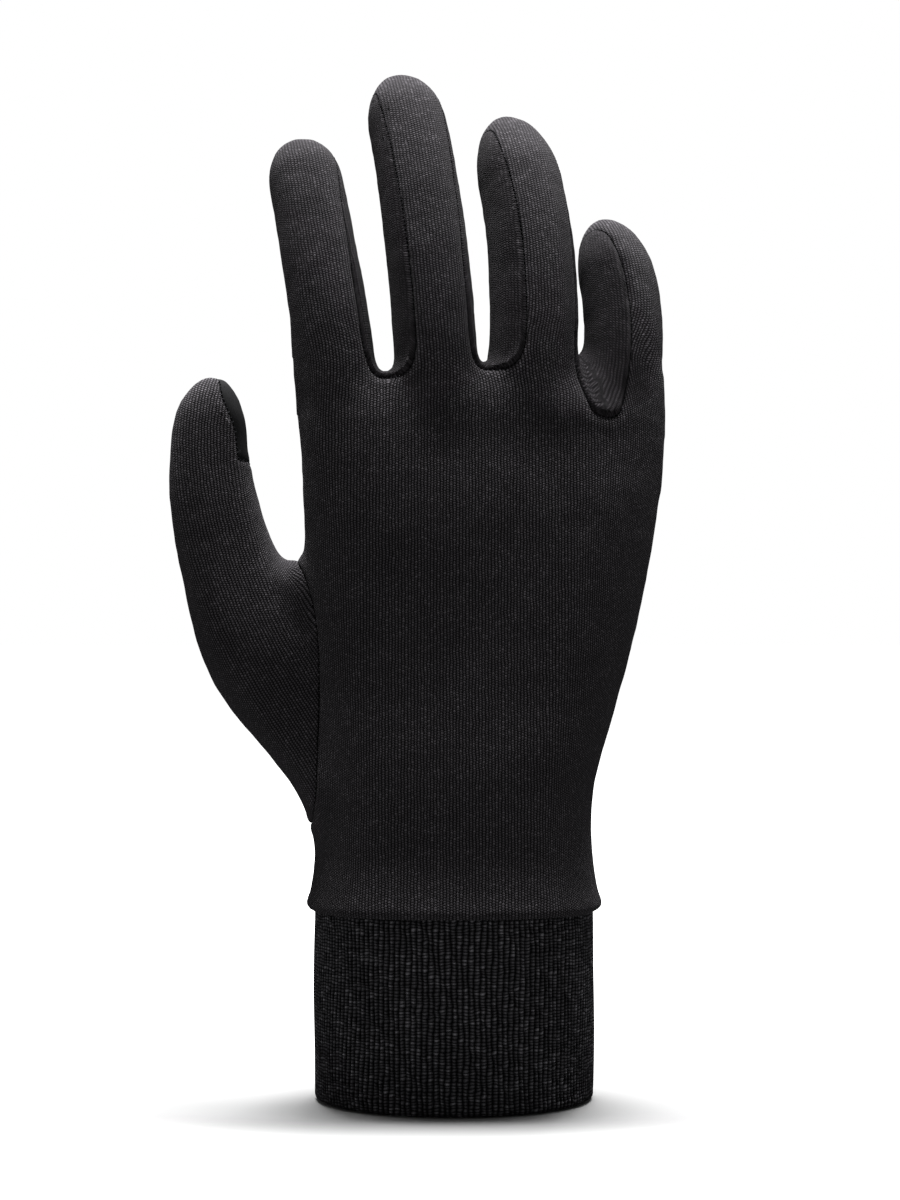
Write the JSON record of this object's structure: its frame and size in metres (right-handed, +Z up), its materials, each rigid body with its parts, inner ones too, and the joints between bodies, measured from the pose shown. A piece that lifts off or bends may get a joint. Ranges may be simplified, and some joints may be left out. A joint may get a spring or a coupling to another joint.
{
  "type": "glove liner",
  "caption": "Thin black knitted liner glove for a right hand, with sewn-in finger side strips, a set-in thumb with a smooth touch panel and a ribbed wrist cuff",
  "frame": {"origin": "middle of the cuff's open end, in the plane of the cuff's edge", "axes": "+Z runs up from the wrist to the fingertips, -Y points out of the back of the hand, +Y out of the palm, and +X to the little finger"},
  "size_m": [0.1256, 0.0581, 0.2601],
  "materials": {
    "knit": "fine plain knit in black yarn, soft and matte, with a faint lighter fuzz",
    "rib": "narrow knitted rib in black yarn, folded double, matte",
    "touch_panel": "smooth black synthetic leather with a soft sheen"
  },
  "bodies": {
    "root": {"hand_body": "knit", "strip_index_middle": "knit", "strip_middle_ring": "knit", "strip_ring_little": "knit", "thumb": "knit", "thumb_touch_pad": "touch_panel", "cuff": "rib"}
  },
  "joints": []
}
